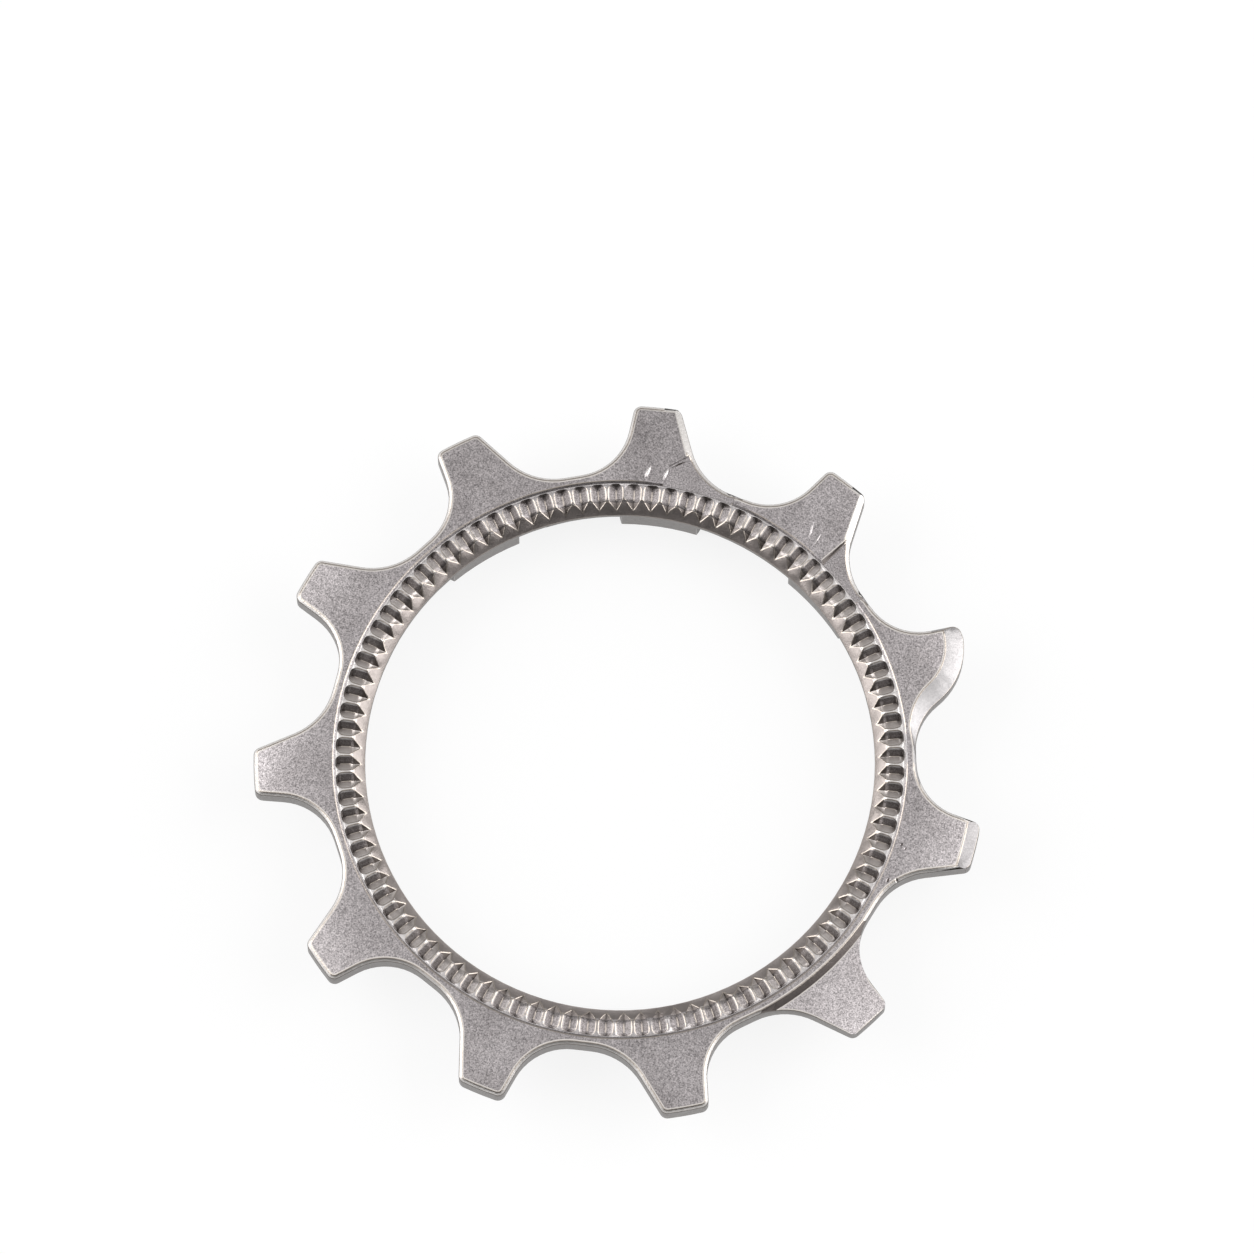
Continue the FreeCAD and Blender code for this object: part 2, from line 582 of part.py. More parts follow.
def spline_sketch(name, width, width_formula, steps):
    """The outline of one spline groove on the back face."""
    sketch = new_sketch(name, "XY_Plane", (0, 0, 1))
    turn = f"-sizes.spline_turn - {SPLINE_TURN} * ({steps})"
    sketch.setExpression("AttachmentOffset.Rotation.Angle", turn)
    half = width / 2.0
    corner = math.sqrt(groove ** 2 - half ** 2)
    lean_out = math.degrees(math.asin(half / groove))
    inner = lip - CLEAR
    points = [(-half, corner), (-half, inner), (half, inner), (half, corner)]
    ends = [FreeCAD.Vector(x, y, 0) for x, y in points]
    for index in range(3):
        sketch.addGeometry(Part.LineSegment(ends[index], ends[index + 1]), False)
    arc = sketch.addGeometry(arc_about(0, 0, groove, 90 - lean_out, 90 + lean_out), False)
    join(sketch, 0, END, 1, START)
    join(sketch, 1, END, 2, START)
    join(sketch, 2, END, arc, START)
    join(sketch, arc, END, 0, START)
    sketch.addConstraint(Sketcher.Constraint("Coincident", arc, CENTRE, ORIGIN, START))
    sketch.addConstraint(Sketcher.Constraint("Vertical", 0))
    sketch.addConstraint(Sketcher.Constraint("Horizontal", 1))
    sketch.addConstraint(Sketcher.Constraint("Vertical", 2))
    bind(sketch, "groove_radius", GROOVE, "Radius", arc, groove)
    inner_formula = f"{LIP} - {CLEAR}"
    place_point(sketch, "left", 1, START, -half, f"-{width_formula} / 2", inner, inner_formula)
    place_point(sketch, "right", 1, END, half, f"{width_formula} / 2", inner, None)
    return sketch


wide = spline_sketch("spline_outline", sizes.spline_width, "sizes.spline_width", "sizes.key_place + 1")
wide_groove = cut_to_depth("spline_groove", wide, LIP_BOTTOM, upwards=True)
repeat("spline_grooves", wide_groove, "sizes.spline_count - 1", f"{SPLINE_TURN} * (sizes.spline_count - 2)")
narrow = spline_sketch("key_outline", sizes.key_width, "sizes.key_width", "sizes.key_place")
cut_to_depth("key_groove", narrow, LIP_BOTTOM, upwards=True)

# Serrations: radial grooves across the ring and its cone, which leave ridges with level crests.
serration = new_sketch("serration_outline", "XZ_Plane", (0, 1, 0))
serration.setExpression("AttachmentOffset.Base.z", f"sizes.serration_stop - {CREST_OUT}")
serration.setExpression("AttachmentOffset.Rotation.Angle", "0")
half_top = sizes.serration_top / 2.0
floor_level = crest_level - sizes.serration_depth
over = crest_level + sizes.recess_depth / 2.0
OVER = f"{CREST_LEVEL} + sizes.recess_depth / 2"
HALF_TOP = "sizes.serration_top / 2"
FLOOR_LEVEL = f"{CREST_LEVEL} - sizes.serration_depth"
polygon(serration, [
    ("floor", 0.0, "0", floor_level, FLOOR_LEVEL),
    ("right_crest", half_top, HALF_TOP, crest_level, CREST_LEVEL),
    ("right_over", half_top, HALF_TOP, over, OVER),
    ("left_over", -half_top, f"-{HALF_TOP}", over, OVER),
    ("left_crest", -half_top, f"-{HALF_TOP}", crest_level, CREST_LEVEL),
])
REACH = f"{CREST_OUT} - {LIP} + {CLEAR}"
one_serration = cut_to_depth("serration", serration, REACH, upwards=True)
repeat("serrations", one_serration, "sizes.serration_count", "360")

# The finished cog, clocked as it lies.
body.setExpression("Placement.Rotation.Angle", "-sizes.clock_angle")
doc.recompute()

for item in doc.Objects:
    if "Invalid" in item.State or "Error" in item.State:
        raise RuntimeError(f"{item.Name} is not built: {item.State}")
    shape = getattr(item, "Shape", None)
    if shape is not None and (shape.isNull() or not shape.isValid()):
        raise RuntimeError(f"{item.Name} has no valid shape")
if len(body.Shape.Solids) != 1:
    raise RuntimeError("the cog is not one solid")

os.makedirs("parts", exist_ok=True)
body.Shape.exportStep("parts/cassette_cog.step")
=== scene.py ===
import math
import random

import bmesh
import bpy
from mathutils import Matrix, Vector


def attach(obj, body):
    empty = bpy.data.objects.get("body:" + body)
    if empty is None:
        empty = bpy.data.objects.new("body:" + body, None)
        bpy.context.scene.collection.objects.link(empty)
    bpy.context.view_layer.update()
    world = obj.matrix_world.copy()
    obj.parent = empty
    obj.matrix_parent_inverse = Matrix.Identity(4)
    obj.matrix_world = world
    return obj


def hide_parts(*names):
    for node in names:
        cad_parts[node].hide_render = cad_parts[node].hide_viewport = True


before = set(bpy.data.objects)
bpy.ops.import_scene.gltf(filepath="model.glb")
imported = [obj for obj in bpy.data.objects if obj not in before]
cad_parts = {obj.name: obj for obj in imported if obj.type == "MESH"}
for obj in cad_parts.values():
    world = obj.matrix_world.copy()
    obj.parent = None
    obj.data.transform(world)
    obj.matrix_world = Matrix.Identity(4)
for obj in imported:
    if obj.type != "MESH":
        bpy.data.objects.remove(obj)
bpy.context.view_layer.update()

# Cassette cog: one piece of steel, forged and stamped to shape with its ring of serrations,
# then tumbled in stone chips so that its edges are rubbed round, and plated with nickel.
# It lies loose on its spacer ring, with the serrated face up.

# Sizes are in millimetres. A turn is in radians, clockwise from the top as the front is seen.
# How level a face lies goes from 0 for an upright wall to 1 for a level face.
PER_METRE = 1000
MILLIMETRE = 1 / PER_METRE
FRONT_FACE = 4.8
FRONTS_ABOVE = 4.0
CREST_LEVEL = 4.65
CREST_IN = 16.83
CREST_OUT = 17.98
GROOVE_COUNT = 96
GROOVE_TURN = math.tau / GROOVE_COUNT
GROOVE_HALF = 0.39
GROOVE_DEPTH = 0.52
TOOTH_COUNT = 11
TOOTH_TURN = math.tau / TOOTH_COUNT
FIRST_TOOTH = math.radians(6.7)
SAME_CORNER = 0.0008
SAME_LEVEL = 0.002
SAME_PLACE = 0.01
FLAT_ANGLE = math.radians(0.6)
LEVEL = 0.9999
UPRIGHT = 0.01


def cog_shape():
    """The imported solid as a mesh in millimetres, with its flat faces whole."""
    shape = bmesh.new()
    shape.from_mesh(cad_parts["cassette_cog"].data)
    bmesh.ops.scale(shape, vec=(PER_METRE, PER_METRE, PER_METRE), verts=shape.verts)
    bmesh.ops.remove_doubles(shape, verts=shape.verts, dist=SAME_CORNER)
    bmesh.ops.dissolve_limit(shape, angle_limit=FLAT_ANGLE, verts=shape.verts, edges=shape.edges)
    return shape


def clock(point):
    """The turn of a point."""
    return math.atan2(point.x, point.y)


def from_axis(point):
    """The distance of a point from the cog's axis."""
    return math.hypot(point.x, point.y)


def in_groove(point):
    """A point as seen from the nearest groove: its number, the place along it and to its side."""
    turns = (clock(point) - FIRST_TOOTH) / GROOVE_TURN
    number = round(turns)
    aside = (turns - number) * GROOVE_TURN
    radius = from_axis(point)
    return number % GROOVE_COUNT, radius * math.cos(aside), radius * math.sin(aside)


def on_groove(number, along, sideways, level):
    """The point at a place along a groove, to its side and at a height."""
    angle = FIRST_TOOTH + number * GROOVE_TURN
    x = along * math.sin(angle) + sideways * math.cos(angle)
    y = along * math.cos(angle) - sideways * math.sin(angle)
    return Vector((x, y, level))


# The grooves were pressed with a round-ended die, so each one is widest halfway along,
# which leaves a narrow waisted ridge, and closes in an arch at the recess wall.
# Each place is a radius and half the groove's width there.
MOUTH_HALF = 0.44
WAIST = [(17.0, 0.485), (17.3, 0.495), (17.6, 0.49)]
ARCH = [(17.78, 0.44), (17.88, 0.35), (17.94, 0.2)]
SHORTEST_SIDE = 0.5
FLOOR_START = 16.0
FLOOR_END = 17.83
FLOOR_LEVEL = CREST_LEVEL - 0.42


def is_crest(corner):
    """True for a corner on the level of the crests."""
    return abs(corner.co.z - CREST_LEVEL) < SAME_LEVEL


def groove_sides(shape):
    """The two upper edges of each groove, as lists of corners from the bore outwards."""
    sides = {}
    for edge in shape.edges:
        ends = sorted(edge.verts, key=lambda corner: in_groove(corner.co)[1])
        number, along, sideways = in_groove(ends[1].co)
        beside = all(abs(abs(in_groove(corner.co)[2]) - GROOVE_HALF) < SAME_PLACE for corner in ends)
        lengthwise = along - in_groove(ends[0].co)[1] > SHORTEST_SIDE
        if all(is_crest(corner) for corner in ends) and beside and lengthwise:
            sides[number, math.copysign(1, sideways)] = ends
    return sides


def is_floor(corner):
    """True for a corner on the bottom line of a groove."""
    number, along, sideways = in_groove(corner.co)
    low = CREST_LEVEL - GROOVE_DEPTH - SAME_PLACE < corner.co.z < FLOOR_LEVEL + SAME_PLACE
    return low and abs(sideways) < SAME_PLACE and FLOOR_START < along < CREST_OUT


def groove_floors(shape):
    """The bottom line of each groove, as a list of corners from the bore outwards."""
    floors = {}
    for edge in shape.edges:
        if all(is_floor(corner) for corner in edge.verts):
            ends = sorted(edge.verts, key=lambda corner: in_groove(corner.co)[1])
            floors[in_groove(ends[0].co)[0]] = ends
    return floors


def add_corner(shape, ends, point):
    """Put a new corner before the last one of a row of corners."""
    edge = shape.edges.get((ends[-2], ends[-1]))
    corner = bmesh.utils.edge_split(edge, ends[-2], 0.5)[1]
    corner.co = point
    ends.insert(-1, corner)


def cut_across(first, second):
    """Cut the face that two corners share from one to the other."""
    shared = set(first.link_faces) & set(second.link_faces)
    bmesh.utils.face_split(shared.pop(), first, second)


def bend_grooves(shape, sides, floors):
    """Bend the upper edges and the floor of each groove, and cut its flanks to follow them."""
    for number, floor in floors.items():
        for along, half in WAIST:
            add_corner(shape, floor, on_groove(number, along, 0.0, FLOOR_LEVEL))
        floor[-1].co = on_groove(number, FLOOR_END, 0.0, FLOOR_LEVEL)
    mouth = math.sqrt(CREST_IN ** 2 - MOUTH_HALF ** 2)
    for (number, side), ends in sides.items():
        ends[0].co = on_groove(number, mouth, side * MOUTH_HALF, CREST_LEVEL)
        for along, half in WAIST + ARCH[:-1]:
            add_corner(shape, ends, on_groove(number, along, side * half, CREST_LEVEL))
        along, half = ARCH[-1]
        ends[-1].co = on_groove(number, along, side * half, CREST_LEVEL)
        floor = floors[number]
        for lower, upper in zip(floor[1:-1], ends[1:]):
            cut_across(lower, upper)
        for upper in ends[len(WAIST) + 1:-1]:
            cut_across(floor[-1], upper)


def crest_ring(shape, radius):
    """The corners on the level of the crests that lie on a circle."""
    return [
        corner for corner in shape.verts
        if is_crest(corner) and abs(from_axis(corner.co) - radius) < SAME_PLACE
    ]


def lay_crests(shape, sides):
    """Lay one crest face on each ridge."""
    inner = crest_ring(shape, CREST_IN)
    for number in range(GROOVE_COUNT):
        first = sides[number, 1]
        second = sides[(number + 1) % GROOVE_COUNT, -1]
        start = FIRST_TOOTH + number * GROOVE_TURN
        turns = {corner: (clock(corner.co) - start) % math.tau for corner in inner}
        between = [corner for corner in inner if turns[first[0]] < turns[corner] < turns[second[0]]]
        between.sort(key=turns.get, reverse=True)
        shape.faces.new(first + second[::-1] + between)


def lay_ledge(shape, near, far):
    """Join two rings of corners with triangles, taking the next corner clockwise on either ring."""
    near.sort(key=lambda corner: clock(corner.co))
    far.sort(key=lambda corner: clock(corner.co))
    rings = [near + near[:1], far + far[:1]]
    turns = [[clock(corner.co) for corner in ring[:-1]] for ring in rings]
    for turn in turns:
        turn.append(turn[0] + math.tau)
    at = [0, 0]
    while at[0] < len(near) or at[1] < len(far):
        following = [
            turn[place + 1] if place + 1 < len(turn) else math.inf
            for turn, place in zip(turns, at)
        ]
        side = 0 if following[0] < following[1] else 1
        shape.faces.new((rings[0][at[0]], rings[1][at[1]], rings[side][at[side] + 1]))
        at[side] += 1


def round_grooves(shape):
    """Give the grooves their pressed shape, with new crests between them and a ledge around them."""
    sides = groove_sides(shape)
    floors = groove_floors(shape)
    crests = [face for face in shape.faces if all(is_crest(corner) for corner in face.verts)]
    bmesh.ops.delete(shape, geom=crests, context="FACES")
    bend_grooves(shape, sides, floors)
    lay_crests(shape, sides)
    lay_ledge(shape, [ends[-1] for ends in sides.values()], crest_ring(shape, CREST_OUT))
    bmesh.ops.recalc_face_normals(shape, faces=shape.faces)


# The die was worn, so the crests differ a little in height, lean and length.
# Some ridges at the top and at the bottom, given in degrees, are pressed badly.
BAD_RIDGES = [(0.0, 8.0), (163.0, 188.0)]
BAD_SHARE = 2.4
WEAR_SEED = 11
WEAR_AMOUNTS = 4
MOUTH_MARGIN = 0.05
MOUTH_REACH = 0.1
MOUTH_SLIDE = 0.09
RIDGE_LEAN = 0.03
RIDGE_SINK = 0.02
RIDGE_TILT = 0.015


def press_ridges(shape):
    """Move the crest corners of each ridge by its own small amounts."""
    chance = random.Random(WEAR_SEED)
    wear = [[chance.uniform(-1.0, 1.0) for _ in range(WEAR_AMOUNTS)] for _ in range(GROOVE_COUNT)]
    for corner in shape.verts:
        radius = from_axis(corner.co)
        if not is_crest(corner) or not CREST_IN - MOUTH_MARGIN < radius < ARCH[-1][0]:
            continue
        turn = clock(corner.co)
        ridge = math.floor((turn - FIRST_TOOTH) / GROOVE_TURN) % GROOVE_COUNT
        degrees = math.degrees(turn) % 360
        bad = any(first < degrees < last for first, last in BAD_RIDGES)
        share = BAD_SHARE if bad else 1.0
        sink, lean, inner, outer = [share * amount for amount in wear[ridge]]
        outward = Vector((corner.co.x, corner.co.y, 0.0)) / radius
        around = Vector((outward.y, -outward.x, 0.0))
        side = math.copysign(1.0, in_groove(corner.co)[2])
        if radius < CREST_IN + MOUTH_REACH:
            slide = MOUTH_SLIDE * inner
            corner.co += slide * outward + Vector((0.0, 0.0, min(slide, 0.0)))
        corner.co += RIDGE_LEAN * lean * around
        corner.co.z -= RIDGE_SINK * (share + sink) + RIDGE_TILT * side * outer


# The ramp step of the second tooth is worn to a slope that widens towards the serrations.
STEP_TURN = FIRST_TOOTH + TOOTH_TURN + math.radians(6.1)
STEP_MIDDLE = 19.0
STEP_SLOPE_IN = 0.26
STEP_SLOPE_OUT = 0.16
SAME_TURN = 0.0005


def wear_step(shape):
    """Draw the step's upper edge back from its foot."""
    for corner in shape.verts:
        radius = from_axis(corner.co)
        upper = corner.co.z > FRONT_FACE - SAME_LEVEL
        if upper and abs(clock(corner.co) - STEP_TURN) < SAME_TURN:
            outward = Vector((corner.co.x, corner.co.y, 0.0)) / radius
            run = STEP_SLOPE_IN if radius < STEP_MIDDLE else STEP_SLOPE_OUT
            corner.co -= run * Vector((outward.y, -outward.x, 0.0))


# The stone chips rubbed every outward edge round, apart from the low steps and the closed
# groove ends that they didn't reach. Where a rubbed edge would fold over, it stays sharp.
RUB_WIDTH = 0.045
RUB_ANGLE = math.radians(22)
FAINT_ANGLE = math.radians(6)
FOLD_ANGLE = math.radians(115)
LOW_STEP = 0.2
LEDGE_TOP = CREST_LEVEL + 0.02
SHARP_REACH = 0.12
MOST_ATTEMPTS = 6


def middle(edge):
    """The point halfway along an edge."""
    return (edge.verts[0].co + edge.verts[1].co) / 2


def breadth(face):
    """How wide a long face is."""
    return face.calc_area() / max(edge.calc_length() for edge in face.edges)


def is_crease(edge):
    """True for a clear edge, and for a slight one that bounds a level face, but not at a low step."""
    levels = [abs(face.normal.z) > LEVEL for face in edge.link_faces]
    steps = [abs(face.normal.z) < UPRIGHT and breadth(face) < LOW_STEP for face in edge.link_faces]
    least = FAINT_ANGLE if levels.count(True) == 1 else RUB_ANGLE
    return edge.calc_face_angle() > least and not (any(steps) and any(levels))


def on_arch(edge):
    """True for an edge at the closed end of a groove."""
    along = in_groove(middle(edge))[1]
    return ARCH[0][0] < along < CREST_OUT and middle(edge).z < LEDGE_TOP


def is_bottom(edge):
    """True for the middle part of a groove's bottom line, which the die left slightly round."""
    along = in_groove(middle(edge))[1]
    return all(is_floor(corner) for corner in edge.verts) and WAIST[0][0] < along < WAIST[-1][0]


def rub_edges(left_sharp):
    """Round the outward edges, apart from those near points that are to stay sharp."""
    shape = cog_shape()
    round_grooves(shape)
    press_ridges(shape)
    wear_step(shape)
    shape.normal_update()
    outward = [edge for edge in shape.edges if edge.is_convex and is_crease(edge) and not on_arch(edge)]
    bottoms = [edge for edge in shape.edges if is_bottom(edge)]
    rubbed = [
        edge for edge in outward + bottoms
        if all((middle(edge) - point).length > SHARP_REACH + edge.calc_length() / 2 for point in left_sharp)
    ]
    bmesh.ops.bevel(
        shape, geom=rubbed, offset=RUB_WIDTH, offset_type="OFFSET", segments=2, profile=0.5,
        affect="EDGES", clamp_overlap=False, loop_slide=True, material=1)
    folds = [middle(edge) for edge in shape.edges if edge.calc_face_angle(0.0) > FOLD_ANGLE]
    return shape, folds


left_sharp = []
for _ in range(MOST_ATTEMPTS):
    shape, folds = rub_edges(left_sharp)
    if not folds:
        break
    left_sharp += folds

# Each face carries how it was worn and whether it gets painted shade, and each corner whether it is
# outermost, for the material to read.
WEAR_AND_SHADE_WAYS = ["rubbed", "broken", "swept", "shaded", "rim"]
layers = {way: shape.faces.layers.float.new(way) for way in WEAR_AND_SHADE_WAYS}
outermost_layer = shape.verts.layers.float.new("outermost")

# The chips also polished a narrow rim of each tooth face along its edge, but not beside a low step; the rim
# is painted lighter, partly as that polish and partly as a painted highlight.
RIM_WIDTH = 0.075
RIM_FROM = 18.3
LEAST_BESIDE = 0.2
RECESS_EDGE = CREST_OUT + 0.1
MERGED_CORNER = 0.001
TURNED_OVER = 0.5


def is_front(face):
    """True for a level front face of the teeth."""
    return face.normal.z > LEVEL and all(
        corner.co.z > FRONTS_ABOVE and from_axis(corner.co) > RECESS_EDGE for corner in face.verts)


def polish_rims(shape):
    """Part a rim off the tooth faces, and close it up at short edges where it would turn over."""
    bmesh.ops.remove_doubles(shape, verts=shape.verts, dist=MERGED_CORNER)
    shape.normal_update()
    fronts = [face for face in shape.faces if is_front(face)]
    rims = bmesh.ops.inset_region(
        shape, faces=fronts, thickness=RIM_WIDTH, depth=0.0, use_boundary=True, use_even_offset=True)
    shape.normal_update()
    turned_over = []
    for face in rims["faces"]:
        beside = [other.normal.z for edge in face.edges for other in edge.link_faces]
        worn = any(LEAST_BESIDE < level < LEVEL for level in beside)
        face[layers["rim"]] = float(worn and from_axis(face.calc_center_median()) > RIM_FROM)
        if face.normal.z < TURNED_OVER:
            turned_over += [edge for edge in face.edges if any(other in fronts for other in edge.link_faces)]
    bmesh.ops.collapse(shape, edges=turned_over)
    shape.normal_update()


polish_rims(shape)

# A corner that touches a wall is outermost.
WALL_LEVEL = 0.5
for corner in shape.verts:
    corner[outermost_layer] = float(any(abs(face.normal.z) < WALL_LEVEL for face in corner.link_faces))

# Edges that weren't rubbed shade sharp, and so do the short ones where a rubbed edge runs out.
for edge in shape.edges:
    plain = all(face.material_index == 0 for face in edge.link_faces)
    edge.smooth = not (plain and (edge.calc_face_angle() > RUB_ANGLE or is_crease(edge)))
run_outs = [corner for corner in shape.verts if not all(edge.smooth for edge in corner.link_edges)]
for edge in {edge for corner in run_outs for edge in corner.link_edges}:
    beside_level = any(abs(face.normal.z) > LEVEL for face in edge.link_faces)
    if beside_level and edge.calc_face_angle() > FAINT_ANGLE:
        edge.smooth = False

# The third tooth is swept away in one arc, with a broad bevel that starts on its tip.
SWEPT_TOOTH = FIRST_TOOTH + 2 * TOOTH_TURN
SWEPT_TO = SWEPT_TOOTH + math.radians(23)
SWEPT_TIP_TURN = 0.11
SWEPT_TIP_FROM = 21.5
SWEPT_TIP_BREADTH = 0.2


def on_swept_tooth(face):
    """True for a face on the swept side or on the tip of the third tooth."""
    centre = face.calc_center_median()
    turn = clock(centre)
    on_tip = breadth(face) > SWEPT_TIP_BREADTH or from_axis(centre) > SWEPT_TIP_FROM
    return SWEPT_TOOTH < turn < SWEPT_TO or (abs(turn - SWEPT_TOOTH) < SWEPT_TIP_TURN and on_tip)


# The fifth tooth is set back behind a sloped wall.
LOW_TOOTH = FIRST_TOOTH + 4 * TOOTH_TURN
LOW_TOOTH_TURN = 0.33
LOW_WALL_TO = 19.0
LOW_WALL_LEVELS = (0.6, 0.68)


def is_low_wall(face):
    """True for the wall behind the fifth tooth."""
    centre = face.calc_center_median()
    near = abs(clock(centre) - LOW_TOOTH) < LOW_TOOTH_TURN and from_axis(centre) < LOW_WALL_TO
    return near and LOW_WALL_LEVELS[0] < abs(face.normal.z) < LOW_WALL_LEVELS[1]


# The worn slope of the second tooth's step spans these turns from the step, and isn't level.
STEP_SPAN = (-0.035, 0.001)
STEP_TO = 19.9
STEP_FOOT = 4.69
STEP_LEVEL = 0.96


def is_worn_step(face):
    """True for the worn slope of the second tooth's step."""
    centre = face.calc_center_median()
    near = STEP_SPAN[0] < clock(centre) - STEP_TURN < STEP_SPAN[1] and from_axis(centre) < STEP_TO
    return near and centre.z > STEP_FOOT and abs(face.normal.z) < STEP_LEVEL


# Other slanted faces are broad bevels, as on the fourth tooth, or the narrow broken edge of the teeth.
SLANT_LEVELS = (0.6, 0.985)
BROAD = 0.54
TEETH_FROM = 18.2
for face in shape.faces:
    centre = face.calc_center_median()
    outside = from_axis(centre) > CREST_OUT + SAME_PLACE and centre.z > FRONTS_ABOVE
    # The fifth tooth's low wall and the worn slope of the step get painted shade.
    shaded = is_low_wall(face) or is_worn_step(face)
    plain = outside and not shaded and not face.material_index
    slanted = plain and SLANT_LEVELS[0] < abs(face.normal.z) < SLANT_LEVELS[1]
    swept = breadth(face) > BROAD or on_swept_tooth(face)
    face[layers["rubbed"]] = float(face.material_index)
    face[layers["shaded"]] = float(outside and shaded)
    face[layers["swept"]] = float(slanted and swept)
    face[layers["broken"]] = float(slanted and not swept and from_axis(centre) > TEETH_FROM)
    face.material_index = 0
    face.smooth = True
bmesh.ops.scale(shape, vec=(MILLIMETRE, MILLIMETRE, MILLIMETRE), verts=shape.verts)
mesh = bpy.data.meshes.new("cog")
shape.to_mesh(mesh)
shape.free()
cog = bpy.data.objects.new("cog", mesh)
bpy.context.scene.collection.objects.link(cog)
even = cog.modifiers.new("even_shading", "WEIGHTED_NORMAL")
even.weight = 80
even.keep_sharp = True


def linear(code):
    """Turn an sRGB hex colour into the linear colour that a shader wants."""
    shares = [int(code[place:place + 2], 16) / 255 for place in (1, 3, 5)]
    bent = [share / 12.92 if share <= 0.04045 else ((share + 0.055) / 1.055) ** 2.4 for share in shares]
    return (*bent, 1.0)


def add_node(tree, kind, settings, inputs):
    """Add a node, set its settings, and fill its inputs with values or links from other nodes."""
    made = tree.nodes.new(kind)
    for name, value in settings.items():
        setattr(made, name, value)
    for place, value in inputs.items():
        if isinstance(value, bpy.types.NodeSocket):
            tree.links.new(value, made.inputs[place])
        else:
            made.inputs[place].default_value = value
    return made


def new_material(name):
    """A material with only an output node in its tree."""
    material = bpy.data.materials.new(name)
    material.use_nodes = True
    material.node_tree.nodes.clear()
    output = add_node(material.node_tree, "ShaderNodeOutputMaterial", {}, {})
    return material, material.node_tree, output


# Nickel-plated steel, tumbled: a neutral grey metal with a fine stony grain and cloudy patches,
# rubbed rims with painted highlights, duller walls with painted shade, and painted brown shade down in the
# serrations.
# The real grain is too fine to show in the picture, so it is drawn somewhat coarser.
steel, tree, output = new_material("nickel_plated_steel_tumbled")
GRAIN_MM = 0.085
PITTING_MM = 0.22
CLOUD_MM = 2.6
place = add_node(tree, "ShaderNodeTexCoord", {}, {})
in_mm = add_node(tree, "ShaderNodeVectorMath", {"operation": "SCALE"}, {
    0: place.outputs["Object"], "Scale": PER_METRE})
grain = add_node(tree, "ShaderNodeTexNoise", {}, {
    "Vector": in_mm.outputs["Vector"], "Scale": 1 / GRAIN_MM, "Detail": 1.0, "Roughness": 0.5})
pitting = add_node(tree, "ShaderNodeTexNoise", {}, {
    "Vector": in_mm.outputs["Vector"], "Scale": 1 / PITTING_MM, "Detail": 2.0, "Roughness": 0.6,
    "Distortion": 1.2})
cloud = add_node(tree, "ShaderNodeTexNoise", {}, {
    "Vector": in_mm.outputs["Vector"], "Scale": 1 / CLOUD_MM, "Detail": 3.0, "Roughness": 0.55})
worn = {
    name: add_node(tree, "ShaderNodeAttribute", {"attribute_name": name}, {}).outputs["Fac"]
    for name in [*layers, "outermost"]
}

# Where on the cog a point lies, and which way the surface faces there.
spot = add_node(tree, "ShaderNodeSeparateXYZ", {}, {0: in_mm.outputs["Vector"]})
across = add_node(tree, "ShaderNodeVectorMath", {"operation": "MULTIPLY"}, {
    0: in_mm.outputs["Vector"], 1: (1.0, 1.0, 0.0)})
radius = add_node(tree, "ShaderNodeVectorMath", {"operation": "LENGTH"}, {0: across.outputs["Vector"]})
aside = add_node(tree, "ShaderNodeMath", {"operation": "DIVIDE"}, {
    0: spot.outputs["X"], 1: radius.outputs["Value"]})
aside_squared = add_node(tree, "ShaderNodeMath", {"operation": "MULTIPLY"}, {
    0: aside.outputs["Value"], 1: aside.outputs["Value"]})
surface = add_node(tree, "ShaderNodeNewGeometry", {}, {})
facing = add_node(tree, "ShaderNodeSeparateXYZ", {}, {0: surface.outputs["Normal"]})
levelness = add_node(tree, "ShaderNodeMath", {"operation": "ABSOLUTE"}, {0: facing.outputs["Z"]})
# Steep surfaces take a darker wall tone, partly the duller sheared metal and partly painted shade.
upright = add_node(tree, "ShaderNodeMapRange", {}, {
    "Value": levelness.outputs["Value"], "From Min": 0.6, "From Max": 0.35})
round_about = add_node(tree, "ShaderNodeVectorMath", {"operation": "CROSS_PRODUCT"}, {
    0: across.outputs["Vector"], 1: (0.0, 0.0, 1.0)})
tangent = add_node(tree, "ShaderNodeVectorMath", {"operation": "NORMALIZE"}, {
    0: round_about.outputs["Vector"]})
sideways = add_node(tree, "ShaderNodeVectorMath", {"operation": "DOT_PRODUCT"}, {
    0: tangent.outputs["Vector"], 1: surface.outputs["True Normal"]})
sideways_size = add_node(tree, "ShaderNodeMath", {"operation": "ABSOLUTE"}, {0: sideways.outputs["Value"]})

# In the serrations, the flanks of the grooves that face the front of the picture get painted shade in dark
# brown, darkest deep down. The flanks that face its back get painted light, and the crests a painted
# highlight.
flank = add_node(tree, "ShaderNodeMapRange", {}, {
    "Value": sideways_size.outputs["Value"], "From Min": 0.3, "From Max": 0.5})
in_ring = add_node(tree, "ShaderNodeMapRange", {}, {
    "Value": radius.outputs["Value"], "From Min": CREST_OUT + 0.01, "From Max": CREST_OUT - 0.01})
on_flank = add_node(tree, "ShaderNodeMath", {"operation": "MULTIPLY"}, {
    0: in_ring.outputs["Result"], 1: flank.outputs["Result"]})
depth = add_node(tree, "ShaderNodeMapRange", {}, {
    "Value": spot.outputs["Z"], "From Min": CREST_LEVEL - 0.05, "From Max": CREST_LEVEL - GROOVE_DEPTH,
    "To Min": 0.65, "To Max": 1.0})
flank_facing = add_node(tree, "ShaderNodeSeparateXYZ", {}, {0: surface.outputs["True Normal"]})
faces_front = add_node(tree, "ShaderNodeMapRange", {}, {
    "Value": flank_facing.outputs["Y"], "From Min": -0.3, "From Max": 0.5, "To Min": 1.0, "To Max": 0.0})
